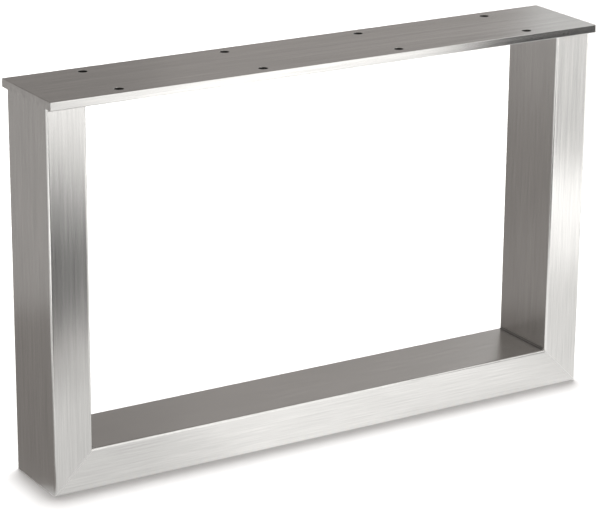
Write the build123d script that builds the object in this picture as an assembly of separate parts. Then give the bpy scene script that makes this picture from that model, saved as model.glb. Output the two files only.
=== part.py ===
# Welded table frame in brushed stainless steel, of the flat "skid" kind that stands at each end of a table.
# Three lengths of rectangular tube are mitred and welded into a U: two upright legs, and a bottom rail that
# lies flat on the floor. A drilled flat bar closes the U at the top, and the table top is screwed to it.
#
# Frame: +Z is up, +X runs along the rail from the left leg to the right leg, +Y runs from front to back.
# The origin is the middle of the footprint, on the floor. Sizes are in millimetres and angles in degrees.
import os

from build123d import *

# Driving dimensions
frame_width = 600.0
frame_height = 380.0

tube_depth = 80.0
tube_face = 40.0
tube_wall = 2.0
tube_corner_radius = 2.5

plate_depth = 100.0
plate_thickness = 8.0
plate_edge_radius = 0.6

hole_diameter = 9.0
holes_per_row = 4
hole_pitch = 150.0
hole_row_spacing = 72.0
hole_edge_break = 0.3

seam_width = 1.2
ground_corner_radius = 1.0
plate_bead_leg = 3.0
corner_bead_leg = 2.2
bead_toe = 0.2
bead_slope = 45.0

# Sizes that follow from them
half_width = frame_width / 2
plate_underside = frame_height - plate_thickness
tube_bore_radius = tube_corner_radius - tube_wall
leg_centre = half_width - tube_face / 2
cutter_reach = frame_width + frame_height

# Half of the mitre seam, measured along Z because the mitre plane lies at 45 degrees
half_seam_rise = seam_width / 2 * 2**0.5


def tube_section(width, height):
    """The rectangular hollow section of the tube."""
    outside = RectangleRounded(width, height, tube_corner_radius)
    bore = RectangleRounded(width - 2 * tube_wall, height - 2 * tube_wall, tube_bore_radius)
    return outside - bore


def uncut_leg(side):
    """An upright before its mitre is cut. Side is -1 for the left leg and 1 for the right."""
    section = Pos(side * leg_centre, 0) * tube_section(tube_face, tube_depth)
    return extrude(section, amount=plate_underside)


def uncut_rail():
    """The bottom rail before its mitres are cut."""
    left_end = Plane.YZ.offset(-half_width)
    section = left_end * Pos(0, tube_face / 2) * tube_section(tube_depth, tube_face)
    return extrude(section, amount=frame_width)


def leg_side_of_mitre(side, rise):
    """A block of all the room on the leg's side of the mitre plane, with that plane raised by rise."""
    side_view = Polyline(
        (side * half_width, rise),
        (side * (half_width - cutter_reach), rise + cutter_reach),
        (side * (half_width + cutter_reach), rise + cutter_reach),
        (side * (half_width + cutter_reach), rise),
        close=True,
    )
    return extrude(Plane.XZ * make_face(side_view), amount=cutter_reach, both=True)


def ground_outline():
    """A block with the frame's side view, whose two bottom corners are ground slightly round."""
    block = Pos(0, 0, frame_height / 2) * Box(frame_width, cutter_reach, frame_height)
    bottom_corners = block.edges().filter_by(Axis.Y).group_by(Axis.Z)[0]
    return fillet(bottom_corners, ground_corner_radius)


def leg(side, outline):
    """An upright: square under the plate, and mitred at the foot, with room left for half the seam."""
    return uncut_leg(side) & leg_side_of_mitre(side, half_seam_rise) & outline


def rail(outline):
    """The bottom rail, mitred at both ends, with room left for half of each seam."""
    cut = uncut_rail() & outline
    for side in (-1, 1):
        cut -= leg_side_of_mitre(side, -half_seam_rise)
    return cut


def corner_bead(side):
    """The small hollow-faced bead left in the inner corner of a mitre, where a grinder can't reach."""
    inner_x = half_width - tube_face
    throat = corner_bead_leg * (1 - 0.5**0.5)
    toe_on_rail = (side * (inner_x - corner_bead_leg), tube_face + bead_toe)
    toe_on_leg = (side * (inner_x - bead_toe), tube_face + corner_bead_leg)
    hollow_face = ThreePointArc(toe_on_rail, (side * (inner_x - throat), tube_face + throat), toe_on_leg)
    flat_faces = Polyline(
        toe_on_leg,
        (side * inner_x, tube_face + corner_bead_leg),
        (side * inner_x, tube_face),
        (side * (inner_x - corner_bead_leg), tube_face),
        toe_on_rail,
    )
    bead_length = tube_depth - 2 * tube_corner_radius
    return extrude(Plane.XZ * make_face(hollow_face + flat_faces), amount=bead_length / 2, both=True)


def mitre_weld(side, outline):
    """The weld round a mitre: through the wall, ground flush outside, with a bead in the inner corner."""
    leg_half = uncut_leg(side) & leg_side_of_mitre(side, 0)
    rail_half = uncut_rail() - leg_side_of_mitre(side, 0)
    seam = leg_side_of_mitre(side, -half_seam_rise) - leg_side_of_mitre(side, half_seam_rise)
    return ((leg_half + rail_half) & seam & outline) + corner_bead(side)


def plate_weld(side):
    """The fillet bead under the plate, along the front, the inner face and the back of a leg."""
    spread = plate_bead_leg + bead_toe
    top_of_leg = Plane.XY.offset(plate_underside) * Pos(side * leg_centre, 0)
    tube_outline = RectangleRounded(tube_face, tube_depth, tube_corner_radius)
    collar_outline = offset(tube_outline, amount=spread)
    collar = extrude(top_of_leg * collar_outline, amount=-plate_bead_leg, taper=bead_slope)
    tube_room = extrude(top_of_leg * tube_outline, amount=-plate_bead_leg)
    # The plate ends flush with the leg's outer face, so the bead stops where that face's corners begin.
    bead_length = tube_face - tube_corner_radius + spread
    bead_middle = half_width - tube_corner_radius - bead_length / 2
    kept = Pos(side * bead_middle, 0, plate_underside) * Box(bead_length, frame_width, frame_height)
    return (collar - tube_room) & kept


def top_plate():
    """The flat bar on top: flush with the legs at its ends, and proud of them at the front and the back."""
    bar = Pos(0, 0, frame_height - plate_thickness / 2) * Box(frame_width, plate_depth, plate_thickness)
    # The lower edges of the two ends stay square, because there the bar is ground flush with the legs.
    lower_end_edges = bar.edges().filter_by(Axis.Y).group_by(Axis.Z)[0]
    bar = fillet(bar.edges() - lower_end_edges, plate_edge_radius)
    hole_radius = hole_diameter / 2
    drill = Cylinder(hole_radius, plate_thickness)
    hangs_from_top = (Align.CENTER, Align.CENTER, Align.MAX)
    edge_break = Cone(hole_radius, hole_radius + hole_edge_break, hole_edge_break, align=hangs_from_top)
    drill += Pos(0, 0, plate_thickness / 2) * edge_break
    drill += Pos(0, 0, -plate_thickness / 2) * Rot(180, 0, 0) * edge_break
    middle = Plane.XY.offset(frame_height - plate_thickness / 2)
    for place in GridLocations(hole_pitch, hole_row_spacing, holes_per_row, 2):
        bar -= middle * place * drill
    return bar


def main():
    outline = ground_outline()
    pieces = {"top_plate": top_plate(), "bottom_rail": rail(outline)}
    for side, name in ((-1, "left"), (1, "right")):
        pieces[f"{name}_leg"] = leg(side, outline)
        pieces[f"{name}_mitre_weld"] = mitre_weld(side, outline)
        pieces[f"{name}_plate_weld"] = plate_weld(side)
    os.makedirs("parts", exist_ok=True)
    for node, piece in pieces.items():
        export_step(piece, f"parts/{node}.step")
        print(node, "solids", len(piece.solids()), "volume", round(piece.volume), "mm3")


main()
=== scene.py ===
# %% [markdown]
# # A brushed steel table frame
#
# This lesson dresses a welded table frame: two upright legs and a bottom rail of rectangular stainless tube,
# and a drilled flat bar on top. The construction is already right, so the work here is all in the looks:
# brushed metal, which is mostly a matter of how light runs along and across the grain, and a small studio.
#
# The model is loaded as a fixed frame first. Nothing in it is moved or resized.

# %% Load the frame
import math

import bpy
import numpy as np
from mathutils import Matrix, Vector


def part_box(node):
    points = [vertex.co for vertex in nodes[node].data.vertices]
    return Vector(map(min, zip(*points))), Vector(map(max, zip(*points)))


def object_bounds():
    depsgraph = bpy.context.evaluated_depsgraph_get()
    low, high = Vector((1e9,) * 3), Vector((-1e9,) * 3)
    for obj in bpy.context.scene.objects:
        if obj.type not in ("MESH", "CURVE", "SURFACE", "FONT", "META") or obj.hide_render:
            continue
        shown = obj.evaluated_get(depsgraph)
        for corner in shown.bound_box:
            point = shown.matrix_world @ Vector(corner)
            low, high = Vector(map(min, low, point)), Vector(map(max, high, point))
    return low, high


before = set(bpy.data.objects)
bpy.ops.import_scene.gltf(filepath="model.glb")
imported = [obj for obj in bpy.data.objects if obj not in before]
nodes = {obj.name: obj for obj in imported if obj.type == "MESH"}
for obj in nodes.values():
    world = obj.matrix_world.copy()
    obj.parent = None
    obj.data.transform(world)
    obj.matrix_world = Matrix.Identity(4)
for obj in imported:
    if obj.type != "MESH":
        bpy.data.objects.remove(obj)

MM = 0.001
BODY = "root"
frame_low, frame_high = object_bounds()
for name in sorted(nodes):
    low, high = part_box(name)
    print(name, "size in mm", [round((b - a) / MM, 1) for a, b in zip(low, high)])

# %% [markdown]
# ## The camera
#
# The photograph looks down on the frame from its front left corner, through a long lens, so the far leg is
# only a little smaller than the near one. A camera could be aimed with a constraint, but a turn, a tilt and a
# small roll say the same thing in three numbers, and they can be read and changed one at a time.

# %% Place the camera
camera_turn = math.radians(-31.49)
camera_tilt = math.radians(18.47)
camera_roll = math.radians(0.45)
camera_place = Vector((-1.272, -2.058, 0.979))
lens_mm = 157.0
sensor_mm = 36.0

camera_data = bpy.data.cameras.new("studio_camera")
camera_data.lens = lens_mm
camera_data.sensor_width = sensor_mm
camera = bpy.data.objects.new("studio_camera", camera_data)
aim = (
    Matrix.Rotation(camera_turn, 4, "Z")
    @ Matrix.Rotation(math.pi / 2 - camera_tilt, 4, "X")
    @ Matrix.Rotation(camera_roll, 4, "Z")
)
camera.matrix_world = Matrix.Translation(camera_place) @ aim
bpy.context.scene.collection.objects.link(camera)
bpy.context.scene.camera = camera
print("camera is", round(camera_place.length, 2), "m from the middle of the footprint")

# %% [markdown]
# ## A helper for shader nodes
#
# Every finish below is a small graph of nodes. Adding a node, setting its inputs and wiring it takes many
# lines in plain code, so one helper does it: an input given as a socket is linked, and anything else is set
# as a value. A second helper starts an empty material.

# %% Helpers: add a node, start a material
def add_node(tree, kind, inputs=None, **settings):
    node = tree.nodes.new(kind)
    for key, value in settings.items():
        setattr(node, key, value)
    for key, value in (inputs or {}).items():
        if isinstance(value, bpy.types.NodeSocket):
            tree.links.new(value, node.inputs[key])
        else:
            node.inputs[key].default_value = value
    return node


def new_material(name):
    material = bpy.data.materials.new(name)
    material.use_nodes = True
    material.node_tree.nodes.clear()
    return material


# %% [markdown]
# ## Brushed steel
#
# The tubes and the bar are finished with an abrasive belt that runs along each piece, so the surface is a
# field of fine parallel scratches. Two things make that look. The scratches scatter light much more across
# the grain than along it, which the shader calls anisotropy, and single deeper scratches show as faint light
# and dark lines. A picture of scratches could be wrapped round the tube, but stretched noise has no seams and
# can be made at the true scale: a millimetre or less across and some centimetres long.

# %% Helper: noise drawn out along the grain
def grain_noise(tree, position, along, width, length, detail=2.0, seed=0.0):
    """Noise in cells about width across and length long, drawn out along the axis called along."""
    scale = {axis: 1 / width for axis in "XYZ"}
    scale[along] = 1 / length
    stretched = add_node(
        tree,
        "ShaderNodeMapping",
        {"Vector": position, "Scale": (scale["X"], scale["Y"], scale["Z"]), "Location": (seed, seed, seed)},
    )
    noise = add_node(
        tree,
        "ShaderNodeTexNoise",
        {"Vector": stretched.outputs["Vector"], "Scale": 1.0, "Detail": detail, "Roughness": 0.6},
    )
    return noise.outputs["Fac"]


# %% Helper: spread a noise over a range of values
def spread(tree, noise, low, high):
    """Noise gathers round its middle, so the range from 0.3 to 0.7 is opened out to low and high."""
    node = add_node(
        tree,
        "ShaderNodeMapRange",
        {"Value": noise, "From Min": 0.3, "From Max": 0.7, "To Min": low, "To Max": high},
    )
    return node.outputs["Result"]


# %% [markdown]
# ## The bar's holes and ends
#
# Two places on the bar differ from the rest of it. The holes are drilled, so their walls were never belted,
# and the shade that falls inside them is painted into their colour. The ends are ground flush with the legs,
# so their scratches run upright. Each place could have a material of its own, but the bar is one solid with
# one material slot.
# So a mask finds the place instead: a number that is 1 there and 0 everywhere else.

# %% Helper: paint shade on the walls of the holes
HOLE_WALL_INSET = 0.25 * MM
# How dark the painted shade makes the walls of the holes
HOLE_PAINTED_SHADE = 0.4
EDGE_BAND = 6 * MM


def painted_hole_shade(tree, position):
    """A factor of 1 on the bar's outside and less on the walls of its holes, where it paints their shade."""
    low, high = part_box("top_plate")
    middle_of_bar = [(a + b) / 2 for a, b in zip(low, high)]
    # Half the room that holds the walls and none of the outside, as a box round the middle of the bar
    room = [
        (high[0] - low[0]) / 2 - EDGE_BAND,
        (high[1] - low[1]) / 2 - EDGE_BAND,
        (high[2] - low[2]) / 2 - HOLE_WALL_INSET,
    ]
    from_middle = add_node(
        tree, "ShaderNodeVectorMath", {0: position, 1: middle_of_bar}, operation="SUBTRACT"
    ).outputs["Vector"]
    distance = add_node(tree, "ShaderNodeVectorMath", {0: from_middle}, operation="ABSOLUTE")
    parts = add_node(tree, "ShaderNodeSeparateXYZ", {"Vector": distance.outputs["Vector"]}).outputs
    inside = 1.0
    for part, half in zip(parts, room):
        within = add_node(tree, "ShaderNodeMath", {0: part, 1: half}, operation="LESS_THAN").outputs[0]
        inside = add_node(tree, "ShaderNodeMath", {0: inside, 1: within}, operation="MULTIPLY").outputs[0]
    return add_node(
        tree, "ShaderNodeMapRange", {"Value": inside, "To Min": 1.0, "To Max": HOLE_PAINTED_SHADE}
    ).outputs["Result"]


# %% Helper: turn the grain upright on the bar's ends
END_FACE_DEPTH = 0.3 * MM


def upright_on_ends(tree, position, tangent):
    """The tangent, turned on the two ends of the bar so that their scratches run upright like the legs'."""
    end_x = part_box("top_plate")[1][0] - END_FACE_DEPTH
    x = add_node(tree, "ShaderNodeSeparateXYZ", {"Vector": position}).outputs["X"]
    across = add_node(tree, "ShaderNodeMath", {0: x}, operation="ABSOLUTE").outputs[0]
    on_end = add_node(tree, "ShaderNodeMath", {0: across, 1: end_x}, operation="GREATER_THAN").outputs[0]
    upright = add_node(tree, "ShaderNodeTangent", direction_type="RADIAL", axis="Z").outputs["Tangent"]
    change = add_node(tree, "ShaderNodeVectorMath", {0: upright, 1: tangent}, operation="SUBTRACT")
    return add_node(
        tree,
        "ShaderNodeVectorMath",
        {0: change.outputs["Vector"], 1: on_end, 2: tangent},
        operation="MULTIPLY_ADD",
    ).outputs["Vector"]


# %% [markdown]
# ## The brushed finish
#
# Now the parts come together in one function. Three noises tint the steel: fine scratches, broad streaks and
# soft clouds. The scratches also feed a very small bump, and the streaks change the roughness a little.
#
# The direction of the grain comes from a Tangent node. A radial tangent round the piece's long axis points
# across the scratches on all four faces of a tube, and that is the way in which the shader spreads the light.

# %% The brushed steel itself
STEEL = (0.71, 0.702, 0.688)
PLATE_STEEL = (0.675, 0.667, 0.654)
ANISOTROPY = 0.8
SCRATCH_WIDTH = 1.0 * MM
SCRATCH_LENGTH = 60 * MM
SCRATCH_DEPTH = 0.02 * MM
SCRATCH_STRENGTH = 0.12
STREAK_LENGTH = 220 * MM
CLOUD_WIDTH = 30 * MM
CLOUD_LENGTH = 70 * MM
ROUGHNESS_CHANGE = 0.015
# Added to the seed, so that the streaks and the clouds don't follow the scratches
STREAK_SEED = 7
CLOUD_SEED = 13


def steel_colour(tree, tone, shades):
    """The tone, lightened and darkened by every noise in shades."""
    shade = shades[0]
    for other in shades[1:]:
        shade = add_node(tree, "ShaderNodeMath", {0: shade, 1: other}, operation="MULTIPLY").outputs[0]
    scaled = add_node(tree, "ShaderNodeVectorMath", {0: tone, "Scale": shade}, operation="SCALE")
    return scaled.outputs["Vector"]


def brushed_steel(name, along, seed, tone, roughness, streak_width, streak_shade, is_bar=False):
    """A brushed finish with its grain along the axis called along. The bar has holes and ends to mind."""
    material = new_material(name)
    tree = material.node_tree
    position = add_node(tree, "ShaderNodeTexCoord").outputs["Object"]
    scratches = grain_noise(tree, position, along, SCRATCH_WIDTH, SCRATCH_LENGTH, 4.0, seed)
    streaks = grain_noise(tree, position, along, streak_width, STREAK_LENGTH, 3.0, seed + STREAK_SEED)
    clouds = grain_noise(tree, position, along, CLOUD_WIDTH, CLOUD_LENGTH, 2.0, seed + CLOUD_SEED)
    shades = [
        spread(tree, scratches, 0.93, 1.06),
        spread(tree, streaks, 1 - streak_shade, 1 + streak_shade),
        spread(tree, clouds, 0.975, 1.02),
    ]
    bump = add_node(
        tree,
        "ShaderNodeBump",
        {"Height": scratches, "Strength": SCRATCH_STRENGTH, "Distance": SCRATCH_DEPTH},
    )
    tangent = add_node(tree, "ShaderNodeTangent", direction_type="RADIAL", axis=along).outputs["Tangent"]
    if is_bar:
        # The walls of the holes get painted shade
        shades.append(painted_hole_shade(tree, position))
        tangent = upright_on_ends(tree, position, tangent)
    shader = add_node(
        tree,
        "ShaderNodeBsdfPrincipled",
        {
            "Base Color": steel_colour(tree, tone, shades),
            "Metallic": 1.0,
            "Roughness": spread(tree, streaks, roughness - ROUGHNESS_CHANGE, roughness + ROUGHNESS_CHANGE),
            "Anisotropic": ANISOTROPY,
            "Normal": bump.outputs["Normal"],
            "Tangent": tangent,
        },
    )
    add_node(tree, "ShaderNodeOutputMaterial", {"Surface": shader.outputs["BSDF"]})
    return material


# %% [markdown]
# ## One finish for each piece
#
# The legs are brushed upright and the rail and the bar lengthways, because each was belted before it was
# welded. One material could serve all four, but then the scratches would line up across the joints. So each
# piece has its own copy, with its own seed.

# %% Give the tubes and the bar their finish
# For each piece: the grain's axis, the tone, the roughness, and the width and strength of its broad streaks
GRAIN = {
    "top_plate": ("X", PLATE_STEEL, 0.2, 6 * MM, 0.08),
    "bottom_rail": ("X", STEEL, 0.25, 3 * MM, 0.02),
    "left_leg": ("Z", STEEL, 0.25, 3 * MM, 0.05),
    "right_leg": ("Z", STEEL, 0.25, 2.5 * MM, 0.03),
}
SEED_STEP = 3.0


def dress(node_name, material):
    """Puts the material on a piece."""
    piece = nodes[node_name]
    piece.data.materials.clear()
    piece.data.materials.append(material)
    print(node_name, "wears", material.name)


for number, (node_name, (along, tone, roughness, streak_width, streak_shade)) in enumerate(GRAIN.items()):
    seed = SEED_STEP * number
    is_bar = node_name == "top_plate"
    finish = brushed_steel(
        f"{node_name}_brushed", along, seed, tone, roughness, streak_width, streak_shade, is_bar
    )
    dress(node_name, finish)

# %% [markdown]
# ## The welds
#
# The seams at the mitres are ground flush with a small disc, so their scratches run no particular way and
# they show as a slightly paler line. The beads under the bar are left as welded. So is the small bead in the
# inner corner of each mitre, where no disc reaches. Its colour is darkened as painted shade in the crease,
# which draws the line between the leg and the rail. It belongs to the same piece as the seam, so another
# mask finds it by its place, above the rail and between the legs.

# %% Helper: paint shade on the beads in the inner corners
RAIL_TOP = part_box("bottom_rail")[1][2]
LEG_INNER_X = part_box("right_leg")[0][0]
# How dark the painted shade makes the bead in the inner corner
CREASE_PAINTED_SHADE = 0.45
MASK_MARGIN = 0.05 * MM


def painted_crease_shade(tree, position):
    """A factor of 1 on the ground seam and less on the bead in the inner corner, where it paints the shade of
    the crease.
    """
    parts = add_node(tree, "ShaderNodeSeparateXYZ", {"Vector": position}).outputs
    across = add_node(tree, "ShaderNodeMath", {0: parts["X"]}, operation="ABSOLUTE").outputs[0]
    above_rail = add_node(
        tree, "ShaderNodeMath", {0: parts["Z"], 1: RAIL_TOP + MASK_MARGIN}, operation="GREATER_THAN"
    ).outputs[0]
    between_legs = add_node(
        tree, "ShaderNodeMath", {0: across, 1: LEG_INNER_X - MASK_MARGIN}, operation="LESS_THAN"
    ).outputs[0]
    bead = add_node(tree, "ShaderNodeMath", {0: above_rail, 1: between_legs}, operation="MULTIPLY")
    return add_node(
        tree, "ShaderNodeMapRange", {"Value": bead.outputs[0], "To Min": 1.0, "To Max": CREASE_PAINTED_SHADE}
    ).outputs["Result"]


# %% Give the welds their finish
FLECK_WIDTH = 0.6 * MM
FLECK_LENGTH = 0.9 * MM
PATCH_WIDTH = 6 * MM
PATCH_LENGTH = 8 * MM
PATCH_SEED = 5
WELD_ROUGHNESS_CHANGE = 0.03
WELD_BUMP_STRENGTH = 0.15


def ground_steel(name, tone, roughness, seed, darkening=None):
    """Steel with no grain. Darkening is a function that gives one more shade, or None."""
    material = new_material(name)
    tree = material.node_tree
    position = add_node(tree, "ShaderNodeTexCoord").outputs["Object"]
    flecks = grain_noise(tree, position, "X", FLECK_WIDTH, FLECK_LENGTH, 3.0, seed)
    patches = grain_noise(tree, position, "X", PATCH_WIDTH, PATCH_LENGTH, 2.0, seed + PATCH_SEED)
    shades = [spread(tree, flecks, 0.96, 1.03), spread(tree, patches, 0.96, 1.04)]
    if darkening is not None:
        shades.append(darkening(tree, position))
    bump = add_node(
        tree,
        "ShaderNodeBump",
        {"Height": flecks, "Strength": WELD_BUMP_STRENGTH, "Distance": SCRATCH_DEPTH},
    )
    change = WELD_ROUGHNESS_CHANGE
    shader = add_node(
        tree,
        "ShaderNodeBsdfPrincipled",
        {
            "Base Color": steel_colour(tree, tone, shades),
            "Metallic": 1.0,
            "Roughness": spread(tree, patches, roughness - change, roughness + change),
            "Normal": bump.outputs["Normal"],
        },
    )
    add_node(tree, "ShaderNodeOutputMaterial", {"Surface": shader.outputs["BSDF"]})
    return material


SEAM_STEEL = (0.745, 0.736, 0.722)
SEAM_ROUGHNESS = 0.36
SEAM_SEED = 40.0
BEAD_STEEL = (0.55, 0.54, 0.53)
BEAD_ROUGHNESS = 0.42
BEAD_SEED = 50.0
for number, side in enumerate(("left", "right")):
    # The seam's colour carries painted shade on the bead in the inner corner
    seam = ground_steel(
        f"{side}_mitre_ground", SEAM_STEEL, SEAM_ROUGHNESS, SEAM_SEED + number, painted_crease_shade
    )
    dress(f"{side}_mitre_weld", seam)
    bead = ground_steel(f"{side}_bead_welded", BEAD_STEEL, BEAD_ROUGHNESS, BEAD_SEED + number)
    dress(f"{side}_plate_weld", bead)

# %% [markdown]
# ## The studio
#
# The frame stands on a white floor that fills the whole view, so its colour is the background. More light
# would also turn it white, but it would wash out the shadow. So the floor has a little glow of its own, only
# for what the camera and the reflections see.

# %% Lay the floor
FLOOR_REACH = 20.0
FLOOR_DROP = 0.05 * MM
FLOOR_WHITE = 0.85
FLOOR_GLOW = 0.05
SQUARE = [(-1, -1), (1, -1), (1, 1), (-1, 1)]


def stage_mesh(name, points, faces, material):
    """A mesh that belongs to the studio and not to the frame."""
    mesh = bpy.data.meshes.new(name)
    mesh.from_pydata(points, [], faces)
    mesh.materials.append(material)
    thing = bpy.data.objects.new(name, mesh)
    bpy.context.scene.collection.objects.link(thing)
    return thing


white_floor = new_material("white_floor")
tree = white_floor.node_tree
light_path = add_node(tree, "ShaderNodeLightPath")
camera_or_gloss = add_node(
    tree,
    "ShaderNodeMath",
    {0: light_path.outputs["Is Camera Ray"], 1: light_path.outputs["Is Glossy Ray"]},
    operation="ADD",
)
seen = add_node(
    tree,
    "ShaderNodeMath",
    {0: camera_or_gloss.outputs[0], 1: light_path.outputs["Is Transmission Ray"]},
    operation="ADD",
)
glow_strength = add_node(tree, "ShaderNodeMath", {0: seen.outputs[0], 1: FLOOR_GLOW}, operation="MULTIPLY")
glow = add_node(tree, "ShaderNodeEmission", {"Color": (1, 1, 1, 1), "Strength": glow_strength.outputs[0]})
white = add_node(tree, "ShaderNodeBsdfDiffuse", {"Color": (FLOOR_WHITE, FLOOR_WHITE, FLOOR_WHITE, 1)})
lit = add_node(tree, "ShaderNodeAddShader", {0: white.outputs[0], 1: glow.outputs[0]})
add_node(tree, "ShaderNodeOutputMaterial", {"Surface": lit.outputs[0]})

floor_corners = [(x * FLOOR_REACH, y * FLOOR_REACH, -FLOOR_DROP) for x, y in SQUARE]
stage_mesh("studio_floor", floor_corners, [(0, 1, 2, 3)], white_floor)
print("the floor reaches", FLOOR_REACH, "m each way")

# %% [markdown]
# ## Cards that only the steel sees
#
# Brushed metal has little colour of its own: it shows the room, smeared across the grain. A photographer
# shapes it with white, grey and black cards just out of the picture. These are the same cards, and Blender's
# ray visibility leaves them out of everything but the reflections, so they throw no shadow and block no view.
#
# Most of what the upright faces show is the ground close by, because the camera looks down on them. So one
# large card lies there, painted in greys with soft edges. Its paint is a colour for each corner of a fine
# grid: every patch is laid over the ones before it, and fades in over the width given as its softness.

# %% Helpers: glow that only reflections see
# A card's colour is its grey times a tint: GREY_TINT for black, and WHITE_TINT from the grey WHITE_FROM up
GREY_TINT = (1.0, 0.89, 0.82)
WHITE_TINT = (1.0, 0.995, 0.985)
WHITE_FROM = 0.6


def tint_for(level):
    """Dark cards are a little warmer than white ones."""
    share = min(level / WHITE_FROM, 1.0)
    return [grey + (white - grey) * share for grey, white in zip(GREY_TINT, WHITE_TINT)]


def only_in_reflections(card):
    card.visible_camera = False
    card.visible_diffuse = False
    card.visible_shadow = False
    card.visible_transmission = False


def glowing_material(name, colour):
    """Colour is one colour for the whole card, or the name of the mesh attribute that holds its paint."""
    material = new_material(name)
    tree = material.node_tree
    if isinstance(colour, str):
        colour = add_node(tree, "ShaderNodeAttribute", attribute_name=colour).outputs["Color"]
    glow = add_node(tree, "ShaderNodeEmission", {"Color": colour, "Strength": 1.0})
    add_node(tree, "ShaderNodeOutputMaterial", {"Surface": glow.outputs[0]})
    return material


# %% Helpers: a card painted in soft patches
PAINT = "paint"


def patch_cover(x, y, corners, softness):
    """How much of a convex patch covers each point: 1 inside it, 0 outside, and a smooth step between."""
    turned = sum(x1 * y2 - x2 * y1 for (x1, y1), (x2, y2) in zip(corners, corners[1:] + corners[:1]))
    inward = np.full(x.shape, np.inf)
    for (x1, y1), (x2, y2) in zip(corners, corners[1:] + corners[:1]):
        edge_x, edge_y = x2 - x1, y2 - y1
        offset = (edge_x * (y - y1) - edge_y * (x - x1)) / math.hypot(edge_x, edge_y)
        inward = np.minimum(inward, math.copysign(1, turned) * offset)
    step = np.clip(inward / softness + 0.5, 0, 1)
    return step * step * (3 - 2 * step)


def painted_card(name, low, high, height, grid, ground, patches):
    """A level card from low to high, in squares of size grid, with the patches painted over a ground grey."""
    columns = round((high[0] - low[0]) / grid) + 1
    rows = round((high[1] - low[1]) / grid) + 1
    x, y = np.meshgrid(np.linspace(low[0], high[0], columns), np.linspace(low[1], high[1], rows))
    level = np.full(x.shape, ground)
    for _, grey, softness, corners in patches:
        cover = patch_cover(x, y, corners, softness)
        level = level * (1 - cover) + grey * cover
    points = [(px, py, height) for px, py in zip(x.ravel(), y.ravel())]
    faces = []
    for row in range(rows - 1):
        for column in range(columns - 1):
            first = row * columns + column
            faces.append((first, first + 1, first + columns + 1, first + columns))
    card = stage_mesh(name, points, faces, glowing_material(name, PAINT))
    paint = card.data.attributes.new(PAINT, "FLOAT_COLOR", "POINT")
    colours = [(*(value * part for part in tint_for(value)), 1.0) for value in level.ravel()]
    paint.data.foreach_set("color", np.ravel(colours))
    only_in_reflections(card)
    print(name, "has", len(points), "corners, from", round(level.min(), 2), "to", round(level.max(), 2))


# %% [markdown]
# ### The ground
#
# The greys below were found by comparing the render with the photograph, one face at a time. The patches
# named near and middle light the lower and middle parts of the fronts, and the far ones the upper parts. The
# dark one at the front left makes the dark band across the left leg, and those behind the frame keep the
# inner faces and the left end grey.

# %% Lay the painted card round the frame
GROUND_CARD_DROP = 0.02 * MM
GROUND_GRID = 0.02
GROUND_GREY = 1.1
# For each patch: its grey, its softness, and its corners as x and y in metres
GROUND_PATCHES = [
    ("back_left", 0.41, 0.05, [(-4, 0.0), (-0.5, 0.0), (-0.5, 4), (-4, 4)]),
    ("back_right", 0.27, 0.05, [(-0.5, 0), (3, 0), (3, 4), (-0.5, 4)]),
    ("near_back_left", 0.25, 0.06, [(-0.66, -0.04), (-0.27, -0.04), (-0.27, 0.45), (-0.66, 0.42)]),
    ("near_back_right", 0.30, 0.06, [(-0.3, 0.0), (0.3, 0.0), (0.3, 0.45), (-0.3, 0.45)]),
    ("inner_corner", 0.18, 0.12, [(0.12, -0.04), (0.27, -0.04), (0.27, 0.16), (0.12, 0.16)]),
    ("far_right", 2.5, 0.10, [(0.6, -0.02), (4, -0.02), (4, -4), (3, -4), (0.8, -0.7)]),
    ("far_front", 1.4, 0.12, [(0.2, -0.85), (0.80, -0.8), (2.6, -4), (0.5, -4), (-0.3, -1.2), (0.0, -1.0)]),
    ("near_left", 0.80, 0.06, [(-0.34, -0.02), (-0.10, -0.02), (-0.05, -0.34), (-0.30, -0.30)]),
    ("near_middle", 1.15, 0.20, [(-0.13, -0.02), (0.3, -0.02), (0.3, -0.45), (0.1, -0.52), (-0.02, -0.4)]),
    ("near_right", 0.95, 0.10, [(0.3, -0.02), (0.6, -0.02), (0.62, -0.34), (0.3, -0.44)]),
    ("middle_right", 1.9, 0.10, [(0.66, -0.02), (1.1, -0.02), (1.1, -0.9), (0.82, -0.66), (0.62, -0.46)]),
    ("right_end", 0.45, 0.10, [(0.66, 0.02), (0.66, -0.16), (3.4, -0.9), (3.4, 0.02)]),
    ("middle_front", 1.3, 0.10, [(0.15, -0.42), (0.6, -0.34), (0.80, -0.62), (0.60, -0.71), (0.2, -0.65)]),
    ("middle_far", 2.0, 0.10, [(0.2, -0.65), (0.62, -0.66), (0.85, -0.95), (0.2, -0.9)]),
    ("foot_left", 0.25, 0.03, [(-0.60, -0.10), (-0.31, -0.10), (-0.31, 0.02), (-0.60, 0.02)]),
    ("near_left_edge", 0.5, 0.08, [(-0.42, -0.28), (-0.14, -0.30), (-0.08, -0.42), (-0.42, -0.40)]),
    ("left_corner", 0.35, 0.06, [(-0.37, -0.06), (-0.80, -0.24), (-0.74, -0.42), (-0.36, -0.16)]),
    ("left_corner_far", 0.55, 0.08, [(-0.72, -0.16), (-1.5, -0.45), (-1.4, -0.85), (-0.70, -0.44)]),
    (
        "dark_front_left", 0.0, 0.12,
        [(-0.46, -0.39), (-0.1, -0.41), (0.17, -0.56), (0.24, -0.9), (0.10, -1.24), (-0.46, -1.3)],
    ),
    ("dark_front_right", 0.0, 0.07, [(0.66, -0.73), (0.88, -0.61), (3.2, -3.06), (2.35, -3.4)]),
    ("right_corner", 2.6, 0.08, [(-0.52, -0.48), (-0.52, -0.95), (-0.90, -1.0), (-0.80, -0.54)]),
]
painted_card(
    "ground_card", (-3.0, -3.6), (3.0, 3.2), -GROUND_CARD_DROP, GROUND_GRID, GROUND_GREY, GROUND_PATCHES
)

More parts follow.
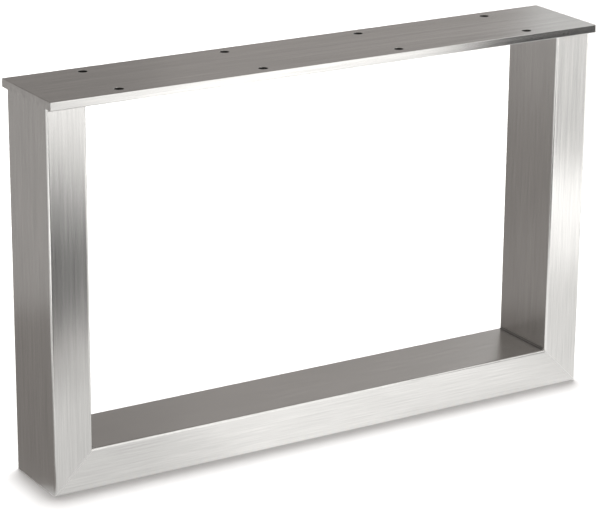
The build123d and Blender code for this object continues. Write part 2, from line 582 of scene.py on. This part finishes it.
# %% [markdown]
# ### The cards overhead and around
#
# The top of the bar and of the rail face the ceiling, and the camera sees in them what hangs high behind the
# frame. A dark card there makes them darker than the fronts, as they are in the photograph. The standing
# cards brighten the edges and fronts, or keep the room's grey out of them where they should be dark.

# %% Hang a dark card behind, for the top faces to show
WORLD_GREY = 0.38
CEILING_HEIGHT = 2.2
CEILING_GRID = 0.1
CEILING_PATCHES = [("shade", 0.06, 0.6, [(-0.6, 0.8), (1.2, 0.8), (1.2, 3.4), (-0.6, 3.4)])]
painted_card(
    "ceiling_card", (-1.4, 0.2), (3.0, 4.2), CEILING_HEIGHT, CEILING_GRID, WORLD_GREY, CEILING_PATCHES
)

# %% Stand the plain cards up
# For each card: its grey, its two ends as x and y, and the heights of its foot and its head
STANDING_CARDS = [
    ("black_flag", 0.0, (1.23, -1.606), (1.50, -1.33), 0.0, 0.9),
    ("white_panel_right", 0.70, (1.7, 1.95), (2.6, 0.4), 0.5, 3.2),
    ("white_panel_front", 1.7, (1.35, -2.0), (0.2, -2.6), 0.0, 0.9),
    ("edge_light", 1.5, (0.2, -1.5), (3.4, -1.5), 0.9, 4.4),
    ("grey_panel_back", 0.30, (-0.6, 3.0), (1.45, 3.0), 0.0, 2.6),
    ("dark_panel_back_left", 0.2, (-3.4, 2.5), (-0.8, 2.5), 0.3, 2.8),
]
for name, grey, start, end, foot, head in STANDING_CARDS:
    corners = [(*start, foot), (*end, foot), (*end, head), (*start, head)]
    colour = (*(grey * part for part in tint_for(grey)), 1)
    card = stage_mesh(name, corners, [(0, 1, 2, 3)], glowing_material(name, colour))
    only_in_reflections(card)
    print(name, "has the grey", grey)

# %% [markdown]
# ## Light
#
# One large softbox hangs behind the frame and leans over it. It makes the white of the floor. Brushed steel
# would show it as a bright glare, so it is left out of the reflections, and the cards take its place there.

# %% Hang the softbox
BOX_PLACE = (0.5, 1.0, 2.25)
BOX_WIDTH = 1.8
BOX_HEIGHT = 2.0
BOX_WATTS = 94

box_data = bpy.data.lights.new("softbox", "AREA")
box_data.shape = "RECTANGLE"
box_data.size = BOX_WIDTH
box_data.size_y = BOX_HEIGHT
box_data.energy = BOX_WATTS
box = bpy.data.objects.new("softbox", box_data)
box.location = BOX_PLACE
box.rotation_euler = (-Vector(BOX_PLACE)).to_track_quat("-Z", "Y").to_euler()
box.visible_glossy = False
bpy.context.scene.collection.objects.link(box)
print("the softbox gives", BOX_WATTS, "W")

# %% [markdown]
# ## The shadow
#
# The whole frame would throw a shadow that reaches far over the floor, and the photograph has only a short
# dark rim at the rail. So the softbox's shadow comes from a hidden block in the foot of the frame: shadow
# linking tells a lamp which things block it, and here the block is the only one.

# %% Throw the shadow
BLOCK_INSET = 0.5 * MM
rail_low, rail_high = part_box("bottom_rail")
block_low = [frame_low[0] + BLOCK_INSET, rail_low[1] + BLOCK_INSET, 0.0]
block_high = [frame_high[0] - BLOCK_INSET, rail_high[1] - BLOCK_INSET, RAIL_TOP - BLOCK_INSET]
block_corners = [
    (block_low[0] if x < 0 else block_high[0], block_low[1] if y < 0 else block_high[1], height)
    for height in (block_low[2], block_high[2])
    for x, y in SQUARE
]
BLOCK_FACES = [(0, 3, 2, 1), (4, 5, 6, 7), (0, 1, 5, 4), (1, 2, 6, 5), (2, 3, 7, 6), (3, 0, 4, 7)]
unseen_black = glowing_material("unseen_black", (0, 0, 0, 1))
shadow_block = stage_mesh("shadow_block", block_corners, BLOCK_FACES, unseen_black)
only_in_reflections(shadow_block)
shadow_block.visible_shadow = True
shadow_block.visible_glossy = False
shadow_casters = bpy.data.collections.new("shadow_casters")
shadow_casters.objects.link(shadow_block)
box.light_linking.blocker_collection = shadow_casters
print("the shadow comes from a block", round((block_high[2] - block_low[2]) / MM, 1), "mm high")

# %% [markdown]
# ## The room
#
# An even, slightly warm grey world stands for the rest of the room. It fills the shade and shows in the steel
# between the cards. The Standard view transform shows each colour about as it is written.

# %% Light the room evenly
WORLD_TINT = (1, 0.941, 0.90, 1)
world = bpy.data.worlds.new("grey_studio")
world.use_nodes = True
background = world.node_tree.nodes["Background"]
background.inputs["Color"].default_value = WORLD_TINT
background.inputs["Strength"].default_value = WORLD_GREY
bpy.context.scene.world = world
bpy.context.scene.view_settings.view_transform = "Standard"
print("the room is", WORLD_GREY, "grey")
